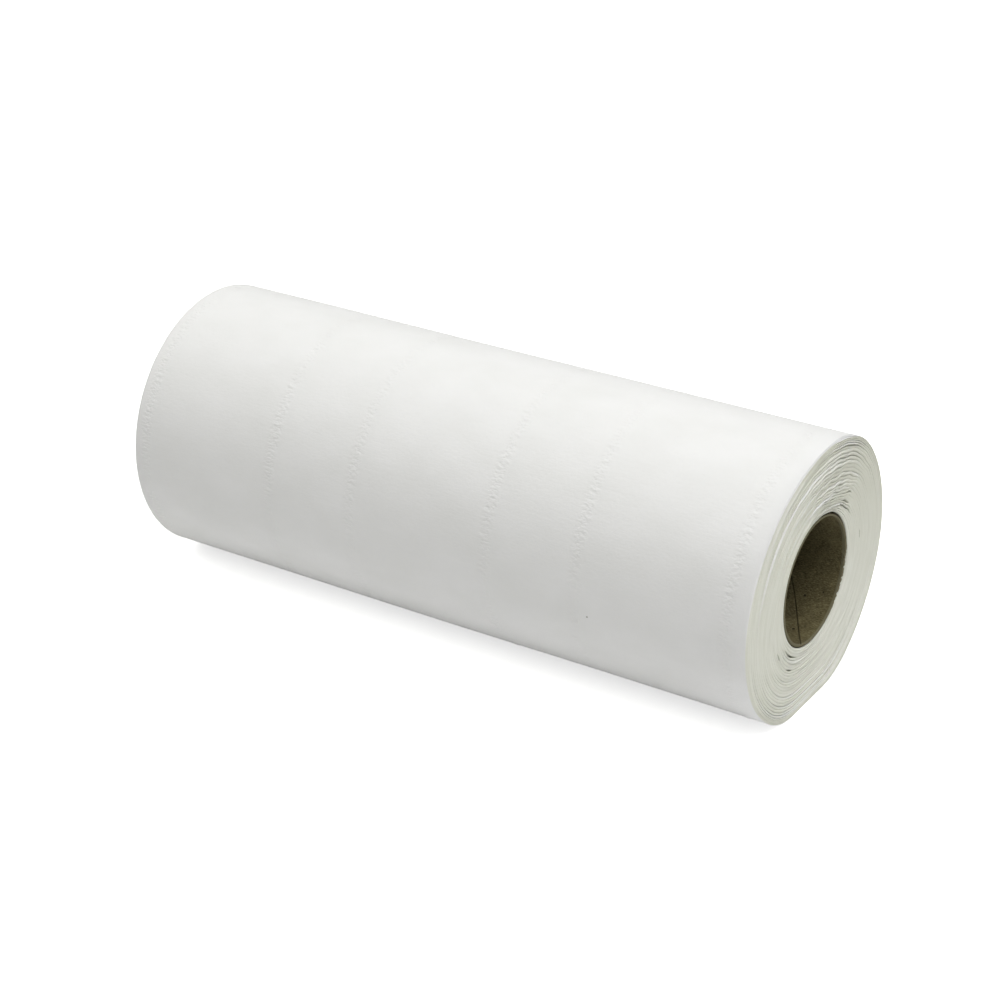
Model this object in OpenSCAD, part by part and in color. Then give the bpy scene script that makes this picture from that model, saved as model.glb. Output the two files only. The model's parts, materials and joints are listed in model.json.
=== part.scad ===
// Exam table paper roll, lying on its side with its ends open.
// The roll's axis runs along X, and its near end is the one at +X.
// Its flat spot rests on z = 0 below the origin.
// Angles round the axis start at the back (+Y) and turn up and over towards the front.

/* [Paper] */
// Width of the paper, which is the length of the roll
paper_width = 250; // [200:5:320]
// Diameter over the turns, away from the flat spot
roll_d = 100; // [90:1:130]
// How far the soft roll has sagged onto its flat spot
sag = 3.5; // [2:0.25:4]
// Width of the flat spot
flat_w = 20; // [14:1:26]
// Radius of the soft edge of the near end, where it is softest
edge_r = 3.2; // [2:0.2:5]

/* [Turns] */
// Turns that show on each end, each a bundle of real ones that lie tight together
turns = 13; // [8:1:13]
// Step down at the paper's free end, the thickness of the outermost bundle
tail_step = 0.4; // [0.2:0.1:0.6]
// Where the paper's free end lies round the roll
tail_angle = -54; // [-55:1:225]
// Depth of the gaps between the turns
turn_gap = 0.8; // [0.3:0.1:1.2]
// How far a loosened turn stands out of the end
proud = 1; // [0:0.1:1.5]
// How far the turns wander in and out over the top, where they are loose
wander = 0.8; // [0:0.1:1]
// How far the turns have sunk in over the top and the upper front
sunk = 4.4; // [0:0.2:5]
// Depth of the two slits near the core, where the turns have parted
parted = 3; // [0:0.5:4]

/* [Ply bands] */
// Width of the crimped bands that hold the plies together
band_w = 5.5; // [4:0.5:8]
// Depth of their puckers
pucker = 0.35; // [0.1:0.05:0.5]
// Distance between the two bands in the middle, centre to centre
band_wide = 56; // [40:1:70]
// Distance from each of them to the next one out
band_narrow = 35; // [20:1:50]
// How far all the bands lie towards the near end
band_shift = -1.2; // [-3:0.2:3]

/* [Core] */
// Inner diameter of the cardboard core
core_bore = 43.4; // [30:0.2:50]
// Wall of the core
core_wall = 1.5; // [1:0.1:3]
// How far the core's ends lie inside the paper's ends
core_recess = 0; // [0:0.5:5]
// Bevel left by the cutter inside the core's ends
core_bevel = 0.3; // [0.1:0.1:0.5]

/* [Hidden] */

roll_r = roll_d / 2;
core_r = core_bore / 2 + core_wall;
axis_z = roll_r - sag;
half_w = paper_width / 2;

// Facets in one turn
seg = 54;
core_fn = 72;
// Turns next to the outside that get thinner, one step at a time
edge_turns = 4;
// Where the first turn starts, as a share of a turn's depth inside the core's wall
start_share = 0.37;
// Shoulders of a turn, as shares of its depth
shoulders = [0.2, 0.8];
// The loosened turn, counted from the outside, and how many turns it takes to rise
proud_turn = 4.52;
proud_span = 0.6;
// Where the turns next to the core have sunk in, by angle: at the near end's top, at the far
// end's back
sunk_at = 94;
far_sunk_at = 10;
// How much further round the outermost turns have sunk in
sunk_lag = 20;
// How far round they have sunk in, before that angle and after it
sunk_spans = [50, 85];
// How much more the turns near the core have sunk in than those near the outside
sunk_skew = 0.25;
// Turn where each slit is deepest, and how many turns it spans
slits = [[2.28, 0.03], [1.8, 0.02]];
// How much tighter the turns lie at the back than over the top and below
back_tight = 0.6;
// The near end's edge is crisp at this angle, with this share of its radius
crisp_at = -20;
crisp_share = 0.1;
// Softness of the far end's edge, as a share of the near end's
far_soft = 0.25;

// The flat spot: a straight line, rounded into the roll's circle by a larger arc
flat_arc = (pow(roll_r, 2) - pow(axis_z, 2) - pow(flat_w / 2, 2)) / (2 * sag);
arc_drop = axis_z - flat_arc;
flat_end = atan2(flat_w / 2, axis_z);
arc_end = atan2(flat_w / 2, arc_drop);
// Beyond the flat spot the outermost turn keeps its own thickness again
flat_fade = 15;

// Difference between two angles, -180 to 180
function apart(a, b) = ((a - b) % 360 + 540) % 360 - 180;

function from_down(a) = abs(apart(a, -90));

function on_arc(f) =
    let (b = flat_w / 2 * sin(f) + arc_drop * cos(f))
    b + sqrt(b * b + pow(flat_arc, 2) - pow(roll_r - flat_arc, 2));

// Radius of the outline at an angle round the axis
function outline_r(a) =
    let (f = from_down(a))
    f <= flat_end ? axis_z / cos(f) : f < arc_end ? on_arc(f) : roll_r;

// 1 on the flat spot, 0 away from it
function flatness(a) =
    max(0, min(1, 1 - (from_down(a) - flat_end) / flat_fade));

// Radius of the winding where turn k starts, before the roll is squeezed
edge_knot = roll_r - tail_step * edge_turns * (edge_turns + 1) / 2;
full_turn = (edge_knot - core_r) / (turns + 1 - edge_turns - start_share);
start_r = core_r - start_share * full_turn;

function knot_r(k) =
    let (out = turns + 1 - k)
    out <= edge_turns ? roll_r - tail_step * out * (out + 1) / 2 : start_r + k * full_turn;

// Radius of the winding after t turns
function winding_r(t) =
    let (k = min(floor(t), turns))
    knot_r(k) + (t - k) * (knot_r(k + 1) - knot_r(k));

// Share of a turn that point i has reached, above 0 and up to 1
function share(i) = i == 0 ? 0 : ((i - 1) % seg + 1) / seg;

// Outside of the winding at the angle of point i, round and squeezed
function outside_r(i) = winding_r(turns + share(i));

function squeezed_r(i) =
    let (a = angle_at(i))
    outline_r(a) - (roll_r - outside_r(i)) * (1 - flatness(a));

function angle_at(i) = tail_angle + 360 * i / seg;

// 0 at the core, 1 at the outside
function depth_share(r) = max(0, min(1, (r - core_r) / (roll_r - core_r)));

// 0 at the core and at the outside, 1 between them
function loose(r) = sin(180 * depth_share(r));

// How far the turns have sunk in at an angle and a radius
function sunk_in(a, r, side) =
    let (start = side > 0 ? sunk_at : far_sunk_at)
    let (past = apart(a, start + sunk_lag * depth_share(r)))
    let (skewed = 1 + sunk_skew * cos(180 * depth_share(r)))
    sunk * loose(r) * skewed * exp(-pow(past / (past > 0 ? sunk_spans[1] : sunk_spans[0]), 4));

// Place of a point at winding radius r, in line with point i, on the end face at x
function place(x, r, i, side) =
    let (a = angle_at(i))
    let (lift = 0.6 + 0.4 * sin(a))
    let (waves = sin(3 * a + 40 * side) + 0.6 * sin(7 * a + 9 * r))
    let (w = r + wander / 2 * pow(loose(r), 2) * lift * waves - sunk_in(a, r, side))
    let (pressed = (squeezed_r(i) - core_r) / (outside_r(i) - core_r))
    let (q = w > core_r ? core_r + (w - core_r) * pressed : w)
    [x, q * cos(a), q * sin(a)];

// Radius of the soft edge at point i: the near end is softest at the front, crisp at the back
function edge_at(i, side) =
    let (near_crisp = (1 - crisp_share) / 2 * (1 + cos(angle_at(i) - crisp_at)))
    edge_r * (side > 0 ? 1 - near_crisp : far_soft);

// How far the soft edge has fallen back at radius r
function edge_drop(r, e) =
    let (d = r - (roll_r - e))
    d <= 0 ? 0 : e - sqrt(max(0, e * e - d * d));

// 0 on the planar ring that meets the core and along the roll's outside
function open_share(t) = max(0, min(1, (t - 1) / 2)) * max(0, min(1, turns - t));

// The turns lie tighter towards the back
function tightness(t) = back_tight * max(0, cos(angle_at(t * seg)));

function slit_share(t, slit) = exp(-pow((t - slit[0]) / slit[1], 2));

function gap_depth(t, side) =
    let (uneven = 0.55 + 0.45 * sin(222 * t + 60 * side))
    turn_gap * open_share(t) * uneven * (1 - tightness(t))
    + parted * (slit_share(t, slits[0]) + slit_share(t, slits[1]));

function crest_rise(t, side) =
    let (out = (turns - t - proud_turn) / proud_span)
    let (ridge = proud * exp(-out * out))
    let (uneven = turn_gap / 2 * sin(137 * t + 90 * side))
    open_share(t) * (ridge + uneven * (1 - tightness(t)));

// Points of one end: the centre, the gaps' bottoms, then each shoulder of the turns
function end_points(side) = concat(
    [[side * half_w, 0, 0]],
    [for (i = [0 : (turns + 1) * seg])
        let (t = i / seg)
        let (r = winding_r(t))
        place(side * (half_w - edge_drop(r, edge_at(i, side)) - gap_depth(t, side)), r, i, side)],
    [for (s = shoulders, i = [0 : turns * seg])
        let (t = i / seg)
        let (r = winding_r(t) + s * (winding_r(t + 1) - winding_r(t)))
        place(side * (half_w - edge_drop(r, edge_at(i, side)) + crest_rise(t, side)), r, i, side)]
);

// Indices of those points, counted from the end's first point
gap_count = (turns + 1) * seg + 1;
shoulder_count = turns * seg + 1;
end_count = 1 + gap_count + 2 * shoulder_count;
last = turns * seg;

function gap_at(i) = 1 + i;
function inner_at(i) = 1 + gap_count + i;
function outer_at(i) = 1 + gap_count + shoulder_count + i;

function quad(a, b, c, d) = [[a, b, c], [a, c, d]];
function flip(faces) = [for (f = faces) [f[2], f[1], f[0]]];
function shift(faces, n) = [for (f = faces) [for (v = f) v + n]];

// The turns of one end, from the centre out, seen clockwise from the near end
end_faces = concat(
    [for (i = [0 : seg - 2]) [0, gap_at(i + 1), gap_at(i)]],
    [for (pair = [
        [0, gap_at(0)],
        [gap_at(0), inner_at(0)],
        [inner_at(0), outer_at(0)],
        [outer_at(0), gap_at(seg)]
    ]) [gap_at(seg - 1), pair[0], pair[1]]],
    [for (i = [0 : last - 1]) each concat(
        quad(gap_at(i), gap_at(i + 1), inner_at(i + 1), inner_at(i)),
        quad(inner_at(i), inner_at(i + 1), outer_at(i + 1), outer_at(i)),
        quad(outer_at(i), outer_at(i + 1), gap_at(i + seg + 1), gap_at(i + seg))
    )]
);

// Places of the bands, out from the middle, as far as a whole band fits
function band_x(k) = band_wide / 2 + ceil(k / 2) * band_narrow + floor(k / 2) * band_wide;
function band_room(x) = half_w - edge_r * (x > 0 ? 1 : far_soft) - band_w / 2 - 0.5;
near_bands = [for (k = [11 : -1 : 0])
    let (x = band_shift + band_x(k))
    if (x <= band_room(x)) x];
far_bands = [for (k = [0 : 11])
    let (x = band_shift - band_x(k))
    if (-x <= band_room(x)) x];

// Rows of points round the outside, from the near end to the far end: [x, pucker share]
function band_rows(bands) = [for (x = bands, e = [1, 0, -1])
    [x + e * band_w / 2, e == 0 ? 1 : 0]];
rows = concat(band_rows(near_bands), [[band_shift, 0]], band_rows(far_bands));
row_count = len(rows);

function pucker_at(i, x) = pucker * (0.55 + 0.45 * sin(222.5 * i + 7 * x));

wall_points = [for (row = rows, i = [last : last + seg])
    place(row[0], outside_r(i) - row[1] * pucker_at(i, row[0]), i, 0)];

// Index of point i on row j, where the rows outside the first and last are the ends' edges
function wall_at(j, i) =
    j < 0 ? gap_at(last + i)
    : j == row_count ? end_count + gap_at(last + i)
    : 2 * end_count + j * (seg + 1) + i;

wall_faces = [for (j = [-1 : row_count - 1], i = [0 : seg - 1]) each
    quad(wall_at(j, i), wall_at(j, i + 1), wall_at(j + 1, i + 1), wall_at(j + 1, i))];

// The paper's free end, a thin face along the whole roll
tail_faces = concat(
    [for (j = [-1 : row_count - 1]) each
        quad(wall_at(j, 0), wall_at(j + 1, 0), wall_at(j + 1, seg), wall_at(j, seg))],
    quad(gap_at(last), gap_at(last + seg), outer_at(last), inner_at(last))
);
far_tail_faces = quad(gap_at(last), gap_at(last + seg), outer_at(last), inner_at(last));

module wound_turns() {
    polyhedron(
        points = concat(end_points(1), end_points(-1), wall_points),
        faces = concat(
            end_faces,
            tail_faces,
            shift(flip(concat(end_faces, far_tail_faces)), end_count),
            wall_faces
        ),
        convexity = 10
    );
}

// All of the paper, with the hole that the core fills
module paper_roll() {
    color("white")
    translate([0, 0, axis_z])
    difference() {
        wound_turns();
        rotate([0, 90, 0])
        cylinder(r = core_r, h = paper_width + 2 * edge_r, center = true, $fn = core_fn);
    }
}

// Spiral-wound cardboard tube, turned from its section
module core() {
    core_l = paper_width - 2 * core_recess;
    bore_r = core_bore / 2;
    color("tan")
    translate([-core_l / 2, 0, axis_z])
    rotate([0, 90, 0])
    rotate_extrude($fn = core_fn)
    polygon([
        [bore_r, core_bevel],
        [bore_r + core_bevel, 0],
        [core_r, 0],
        [core_r, core_l],
        [bore_r + core_bevel, core_l],
        [bore_r, core_l - core_bevel]
    ]);
}

paper_roll();
core();
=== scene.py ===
# %% [markdown]
# A roll of exam table paper
#
# The real thing is one long strip of soft two-ply paper, wound tightly on a cardboard tube.
# It lies on its side, so its own weight has pressed a small flat spot under it.
# The lesson builds it from two pieces, the wound paper and the tube, and then lights it softly
# enough that white paper on a white floor still shows its shape.

# %% Load the packed model as the fixed frame
import json
import math
import bpy
import numpy as np
from mathutils import Matrix, Vector


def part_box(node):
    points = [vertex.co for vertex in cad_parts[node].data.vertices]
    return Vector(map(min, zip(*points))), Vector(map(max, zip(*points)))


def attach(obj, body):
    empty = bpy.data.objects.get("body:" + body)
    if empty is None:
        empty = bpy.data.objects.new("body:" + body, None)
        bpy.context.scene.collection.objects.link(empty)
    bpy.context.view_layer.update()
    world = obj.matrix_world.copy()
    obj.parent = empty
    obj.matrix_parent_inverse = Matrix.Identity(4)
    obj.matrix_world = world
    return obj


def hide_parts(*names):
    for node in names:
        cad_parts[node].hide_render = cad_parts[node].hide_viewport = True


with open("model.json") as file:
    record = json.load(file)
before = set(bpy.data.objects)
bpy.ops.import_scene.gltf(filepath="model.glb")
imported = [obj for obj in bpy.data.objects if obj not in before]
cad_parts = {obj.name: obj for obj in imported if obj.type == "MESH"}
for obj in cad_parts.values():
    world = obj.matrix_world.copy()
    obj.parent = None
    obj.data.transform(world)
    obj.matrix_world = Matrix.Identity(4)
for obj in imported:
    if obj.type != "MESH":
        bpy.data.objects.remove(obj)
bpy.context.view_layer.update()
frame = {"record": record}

# %% [markdown]
# The sizes
#
# The main sizes come from the packed model, so the visible roll and the construction agree.
# The tube's bore is stated as a mount, which also gives the height of the roll's axis.
# The alternative, typing the sizes in again, would drift apart as soon as one of them changed.
# Two numbers are typed in: half the width of the flat spot, and a correction of the roll's radius,
# since at its top the last turn is still a little thinner than where the winding ends.

# %% Read the sizes off the frame
MM = 0.001
TURN = 2 * math.pi
bore_mount = next(m for m in frame["record"]["mounts"] if m["name"] == "core_bore")
axis_z = bore_mount["pos_m"][2]
bore_r = bore_mount["dims"]["r_mm"] * MM
core_low, core_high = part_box("core")
core_r = (core_high[2] - core_low[2]) / 2
core_half = (core_high[0] - core_low[0]) / 2
part_wound = 0.25 * MM
roll_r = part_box("paper_roll")[1][2] - axis_z + part_wound
paper_half = core_half
flat_half = 10 * MM
print("roll radius", round(roll_r / MM, 2), "core radius", round(core_r / MM, 2), "mm")

# %% [markdown]
# The outline of a soft roll
#
# Seen from its end the roll is a circle with a flat spot below. Cutting the circle with a plane
# would leave two hard corners, which paper never has. So the flat line runs into the circle over
# a wide arc that touches both, and the arc's radius follows from the flat width and the sag.

# %% Outline radius at an angle round the axis, 0 at the back and 90 degrees on top
sag = roll_r - axis_z
flat_arc = (roll_r ** 2 - axis_z ** 2 - flat_half ** 2) / (2 * sag)
arc_drop = axis_z - flat_arc
flat_end = math.atan2(flat_half, axis_z)
arc_end = math.atan2(flat_half, arc_drop)


def from_down(angle):
    """How far an angle lies from straight down, to either side."""
    turned = np.mod(angle + math.pi / 2, TURN)
    return np.minimum(turned, TURN - turned)


def outline_radius(angle):
    """The roll's radius at an angle: on the flat, on the arc beside it, or on the circle."""
    down = from_down(angle)
    middle = flat_half * np.sin(down) + arc_drop * np.cos(down)
    inside = np.maximum(middle * middle + flat_arc ** 2 - (roll_r - flat_arc) ** 2, 0)
    arc = middle + np.sqrt(inside)
    flat = axis_z / np.cos(np.minimum(down, flat_end))
    return np.where(down <= flat_end, flat, np.where(down < arc_end, arc, roll_r))


print("the flat spot's arc has a radius of", round(flat_arc / MM, 1), "mm")

# %% [markdown]
# The winding
#
# A wound roll is a spiral and not a set of rings. Nearly two hundred turns of thin paper would need
# about a million faces, and most of them lie so tight that nobody could see them. What shows on the
# end are bundles: a few turns that slipped together, then a fine gap. So the spiral here has one
# turn for each bundle, and the last few get thinner until the outermost is a single sheet.

# %% Radius of the winding after t turns
start_gap = 0.05 * MM
inner_bundles = 21
outer_bundles = np.array([0.95, 0.8, 0.65, 0.55, 0.45, 0.35, 0.25, 0.15]) * MM
bundles = inner_bundles + len(outer_bundles)
inner_bundle = (roll_r - core_r - start_gap - outer_bundles.sum()) / inner_bundles
depths = np.concatenate([[start_gap], np.full(inner_bundles, inner_bundle), outer_bundles])
knots = core_r + np.concatenate([[0], np.cumsum(depths)])
# The strip's free end lies under the roll, towards the back
tail_angle = math.radians(-54)


def winding(t):
    """Radius after t turns, counted from the strip's start on the tube."""
    return np.interp(t, np.arange(len(knots)), knots)


print(bundles, "bundles of", round(inner_bundle / MM, 2), "mm and less")

# %% [markdown]
# Hills round the roll
#
# Most of what makes a roll uneven happens over some stretch of its circle: a dent on top, a loose
# place at the back. A smooth hill over the angle describes each of them with a centre and a reach,
# and it fades out by itself, which a plain from-to range would not do.

# %% A hill over the angle, and the share of the way from the core to the outside
def degrees_from(angle, centre):
    """Signed distance in degrees of an angle in radians from a centre in degrees."""
    return np.mod(np.degrees(angle) - centre + 180, 360) - 180


def hill(angle, centre, reach, power=2):
    """1 at the centre, a third at the reach, then soon 0. A higher power gives a flatter top."""
    return np.exp(-(degrees_from(angle, centre) / reach) ** power)


def wall_share(r):
    """0 at the core, 1 at the outside of the roll."""
    return np.clip((r - core_r) / (roll_r - core_r), 0, 1)


print("at its reach a hill is", round(float(hill(math.radians(40), 0, 40)), 2), "high")

# %% [markdown]
# How the turns wander
#
# On the real end no turn is a true circle. From the top down the front the turns have sunk in
# towards the core, over the top they ripple, at the upper back they lie in small kinks, and at the
# lower left they sag. One function adds these up. It moves neighbours alike, so turns never cross,
# which shifting each turn by itself could not promise.

# %% Drift of the turns round an end
# A side is 1 for the near end and -1 for the far end. Centres and reaches are in degrees
sunk = 5.2 * MM
sunk_centre = {1: 94, -1: 10}
sunk_lean = 20
reach_ahead, reach_behind = 85, 50
ripple_centre = {1: 78, -1: 115}
ripple_reach, ripple_height = 46, 0.17 * MM
kink_centre, kink_reach, kink_height = 52, 20, 0.26 * MM
sag_centre, sag_reach, sag_height = 234, 13, 0.7 * MM
sag_at, sag_width = 0.22, 0.2


def drift(r, angle, side):
    """How far the winding at a place has moved from its true radius. The waves fit a whole number
    of times round the roll, so that they meet, and shift a little from turn to turn."""
    share = wall_share(r)
    middle = np.sin(math.pi * share)
    hollow = middle * (1 + 0.25 * np.cos(math.pi * share))
    past = degrees_from(angle, sunk_centre[side] + sunk_lean * share)
    sunk_in = sunk * np.exp(-(past / np.where(past > 0, reach_ahead, reach_behind)) ** 4) * hollow
    phase = r / MM * 0.5
    ripple = np.sin(27 * angle + phase) + 0.6 * np.sin(17 * angle - 1.6 * phase + 1)
    over_top = hill(angle, ripple_centre[side], ripple_reach, 4)
    ripple = ripple * ripple_height * over_top * np.sqrt(middle)
    kinks = np.sin(13 * angle + 0.6 * phase + 0.7 * np.sin(22 * angle - 0.4 * phase))
    kinks = kinks * kink_height * hill(angle, kink_centre, kink_reach, 4) * middle
    sagging = hill(angle, sag_centre, sag_reach) * np.exp(-((share - sag_at) / sag_width) ** 2)
    return ripple + kinks + sag_height * sagging * middle - sunk_in


print("turns sunk in by up to", round(sunk / MM, 1), "mm")

# %% [markdown]
# A tube that was pushed
#
# On the photographed end the back stands out by a hair, as if the tube had been pushed through
# there, and the hole is no longer quite round. Paper and tube share both, so they are written once
# and used by the two pieces. The turns next to the tube follow its mouth, the outer ones don't.

# %% From the winding's radius to the real one
spread = 0.5 * MM
mouth_wall = 12 * MM


def back_push(angle):
    """How far the near end stands out at the back, where the tube was pushed through a little."""
    return 0.8 * MM * hill(angle, 0, 50)


def mouth_swell(angle):
    """How far the tube's mouth has been pushed out of round on the near end."""
    return 0.55 * MM * hill(angle, 50, 28)


def settle(r, angle, side, spread_share=0.0):
    """Winding radius to real radius: the turns wander, the flat spot presses them, and the back
    spreads. A side of 0 is the side of the roll, where nothing wanders."""
    wandered = r + (drift(r, angle, side) if side else 0)
    pressed = (outline_radius(angle) - core_r) / (roll_r - core_r)
    wider = 1 + spread_share * spread / (roll_r - core_r) * np.maximum(np.cos(angle), 0)
    swell = mouth_swell(angle) * np.clip(1 - (r - core_r) / mouth_wall, 0, 1) * (side > 0)
    return core_r + (wandered - core_r) * pressed * wider + swell


# Painted shade: the gaps between turns are too fine to model, so their shade is painted into the
# edges' colour
def loose_turn_shade(r, angle):
    """How much painted shade the cut edges get for the fine gaps between the turns: 0 where the
    turns lie tight, at the lower back, and 1 where they lie loosest, at the upper back."""
    everywhere = 0.3
    loose_shade = hill(angle, 62, 62) * np.clip(0.5 + wall_share(r), 0, 1)
    return np.clip(loose_shade + everywhere - everywhere * hill(angle, -40, 45), 0, 1)


print("the back stands out by", round(float(back_push(0)) / MM, 2), "mm")

# %% [markdown]
# Ridges, gaps and pockets
#
# Three things catch the light on the end: turns that stand proud, thin gaps between bundles, and a
# few dark pockets where the turns have parted. A turn that stands proud shows a narrow strip of its
# white face towards the light, and a soft ramp on its other side. Noise alone looks like rippled
# water. So the ones that show best are listed one by one, each on the bundle that lies nearest to
# it, and seeded noise fills in between.

# %% Place the features of both ends
# Each ridge: angle, radius share, half its span in degrees, height and gap depth in mm
near_ridges = [
    (125, 0.79, 38, 0.34, 0.8), (72, 0.802, 14, 0.1, 0.8), (73, 0.922, 14, 0.25, 1.6),
    (64, 0.943, 14, 0.2, 0.4), (100, 0.912, 22, 0.05, 0.6), (105, 0.866, 24, 0.05, 0.5),
    (108, 0.832, 16, 0.05, 0.4), (128, 0.912, 20, 0.2, 0.5), (90, 0.559, 18, 0.22, 0.7),
    (122, 0.562, 30, 0.15, 0.5), (58, 0.525, 18, 0.25, 0.6), (84, 0.488, 22, 0.25, 0.6),
    (60, 0.719, 14, 0.1, 0.05), (57, 0.821, 9, 0.1, 0.05), (95, 0.696, 22, 0.12, 0.6),
    (85, 0.625, 16, 0.15, 0.7), (70, 0.65, 12, 0.15, 0.3), (92, 0.738, 18, 0.12, 0.5),
    (158, 0.808, 18, 0.12, 0.3), (82, 0.865, 12, 0.05, 0.3), (48, 0.765, 8, 0.15, 0.2),
    (112, 0.602, 16, 0.12, 0.5), (115, 0.687, 20, 0.1, 0.5), (75, 0.765, 12, 0.15, 0.4),
    (262, 0.887, 55, 0.28, 0.6), (272, 0.825, 44, 0.25, 0.6), (262, 0.858, 34, 0.12, 0.4),
    (250, 0.922, 34, 0.2, 0.3), (305, 0.858, 26, 0.1, 0.4), (300, 0.903, 30, 0.1, 0.4),
    (236, 0.563, 22, 0.15, 0.3), (258, 0.772, 30, 0.2, 0.3), (240, 0.69, 18, 0.12, 0.25),
    (330, 0.907, 24, 0.08, 0.3),
]
# Each pocket: angle, radius share, half its span in degrees, depth and half-width in mm
near_pockets = [
    (49, 0.54, 10, 3.0, 0.26), (49, 0.588, 4.5, 2.4, 0.24), (50, 0.645, 3, 2.5, 0.28),
    (65.5, 0.642, 2.8, 2.6, 0.3), (78, 0.556, 3.5, 1.6, 0.16), (233, 0.532, 8.5, 3.0, 0.32),
    (214.5, 0.601, 2.6, 2.5, 0.3), (239, 0.613, 2.4, 2.5, 0.28), (70, 0.921, 9, 1.3, 0.14),
    (80, 0.916, 4, 1.2, 0.14), (72, 0.84, 3, 1.2, 0.12), (367, 0.647, 2.2, 0.9, 0.14),
    (106, 0.914, 16, 0.8, 0.08), (112, 0.851, 22, 0.7, 0.06), (100, 0.965, 16, 0.6, 0.04),
    (112, 0.785, 22, 0.6, 0.06), (128, 0.945, 14, 0.6, 0.05),
]
far_draw = np.random.default_rng(21)
far_ridges = [
    (far_draw.uniform(0, 360), far_draw.uniform(0.55, 0.94), far_draw.uniform(20, 60),
     far_draw.uniform(0.15, 0.5), far_draw.uniform(0.3, 0.8)) for _ in range(16)
]
far_pockets = [
    (far_draw.uniform(0, 360), far_draw.uniform(0.53, 0.9), far_draw.uniform(2, 7),
     far_draw.uniform(1.5, 3), far_draw.uniform(0.2, 0.4)) for _ in range(8)
]
ridges = {1: near_ridges, -1: far_ridges}
pockets = {1: near_pockets, -1: far_pockets}


def turn_at(angle_deg, radius_share, side):
    """The point of the spiral, counted in turns, that lies nearest to a place on the end."""
    angle = math.radians(angle_deg)
    start = np.mod(angle - tail_angle, TURN) / TURN
    t = start + np.arange(1, bundles - 1)
    radius = settle(winding(t), np.full(len(t), angle), side)
    return t[np.argmin(np.abs(radius - radius_share * roll_r))]


def along(t, where, span_deg):
    """1 near one place of the spiral, 0 away from it, over a span in degrees."""
    return np.exp(-np.abs((t - where) * 360 / span_deg) ** 3)


print(len(near_ridges), "ridges and", len(near_pockets), "pockets on the near end")

# %% [markdown]
# The relief of an end
#
# A relief says how far each point stands out or lies back. Noise comes first, lively at the top
# and at the bottom, where the real end is most uneven. Then each ridge lifts its own turn, and a
# little of the next turn, so that a soft ramp leads up to it. Its bare face looks up towards the
# light, so that is the turn's outer wall over the top and its inner wall below.

# %% Relief of an end, as heights along the roll for each point of the spiral
lively_centres = {1: (104, 268), -1: (40, 200)}
noise_seed = {1: 3, -1: 31}
# Shares of a ridge's height: the turn's shoulder away from the face, and the ramp's two shoulders
far_shoulder = 0.6
ramp_near, ramp_far = 0.4, 0.1
# Shares of a ridge's gap depth below its face and on the ramp, which the ridge partly fills
face_gap, ramp_gap, ramp_fill = 0.8, 0.3, 0.5
bare_height = 0.4


def smooth_noise(t, seed, waves_per_turn):
    """Unevenness along the spiral, about 1 high, from a few waves of seeded length and phase."""
    draw = np.random.default_rng(seed)
    waves = 6
    total = np.zeros_like(t)
    for _ in range(waves):
        stretch, phase = draw.uniform(0.4, 1.8), draw.uniform(0, 6.3)
        total += np.sin(TURN * (t * waves_per_turn * stretch) + phase)
    return total / waves ** 0.5


def end_relief(t, side):
    """Heights of the gap and of the turn's two shoulders, the pocket's half-width, and how bare the
    white sheet lies on the turn's inner and outer wall, for each point of the spiral."""
    angle = tail_angle + TURN * t
    top, low = lively_centres[side]
    lively = 0.12 + 0.88 * hill(angle, top, 54, 4)
    lively += 0.45 * hill(angle, low, 50, 4)
    seed = noise_seed[side]
    gap = (0.12 + 0.32 * np.abs(smooth_noise(t, seed, 1.7))) * lively
    inner = 0.12 * smooth_noise(t, seed + 1, 1.3) * lively + 0.03 * smooth_noise(t, seed + 2, 9)
    step = 0.2 * np.maximum(smooth_noise(t, seed + 3, 2.3), 0) * lively
    outer = inner + step
    width, bare_in, bare_out = np.zeros_like(t), np.zeros_like(t), 0.5 * step
    leans_out = np.clip(0.5 + np.sin(angle - math.radians(30)), 0, 1)
    leans_in = 1 - leans_out
    for angle_deg, share, span, height, depth in ridges[side]:
        where = turn_at(angle_deg, share, side)
        before, here, after = (along(t, where + k, span) for k in (-1, 0, 1))
        inner += height * (here * (far_shoulder * leans_out + leans_in)
                           + ramp_far * before * leans_out + ramp_near * after * leans_in)
        outer += height * (here * (leans_out + far_shoulder * leans_in)
                           + ramp_near * before * leans_out + ramp_far * after * leans_in)
        bare_in += height * here * leans_in
        bare_out += height * here * leans_out
        gap += (ramp_gap * depth - ramp_fill * height) * (here * leans_out + after * leans_in)
        gap += face_gap * depth * (here * leans_in + after * leans_out)
    for angle_deg, share, span, depth, half_width in pockets[side]:
        where = turn_at(angle_deg, share, side)
        gap += depth * along(t, where, span)
        width += half_width * along(t, where, span)
    # All relief fades out where the spiral starts and where it ends
    fade = np.clip(t - 0.2, 0, 1) * np.clip((bundles - t) / 2, 0, 1) * MM
    return {
        "gap": -gap * fade,
        "inner": inner * fade,
        "outer": outer * fade,
        "width": width * fade,
        "bare_in": np.clip(bare_in / bare_height, 0, 1),
        "bare_out": np.clip(bare_out / bare_height, 0, 1),
    }


near_relief = end_relief(np.linspace(0, bundles, 5000), 1)
print("deepest gap", round(-near_relief["gap"].min() / MM, 1), "mm")

# %% [markdown]
# The soft edge and the dished end
#
# The side doesn't meet the end at a sharp corner everywhere. Over the top and the front of the near
# end the outer turns were handled and have curled in. Below and at the back the cut is still crisp,
# and the far end has a small even curl. A quarter circle gives the curl, and its radius changes
# with the angle. The near end is also dished: its rim stands out by up to two millimetres at the
# top, and its back by the tube's push.

# %% How far the end stands back near the rim, and how far it stands out
def curl_radius(angle, side):
    """Radius of the soft edge between the side and the end."""
    if side < 0:
        return np.full_like(angle, 0.7 * MM)
    soft = 0.5 + 1.2 * hill(angle, 73, 11)
    soft = soft + 0.2 * hill(angle, 195, 35)
    return MM * (0.15 + soft * hill(angle, 150, 88, 8))


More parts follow.
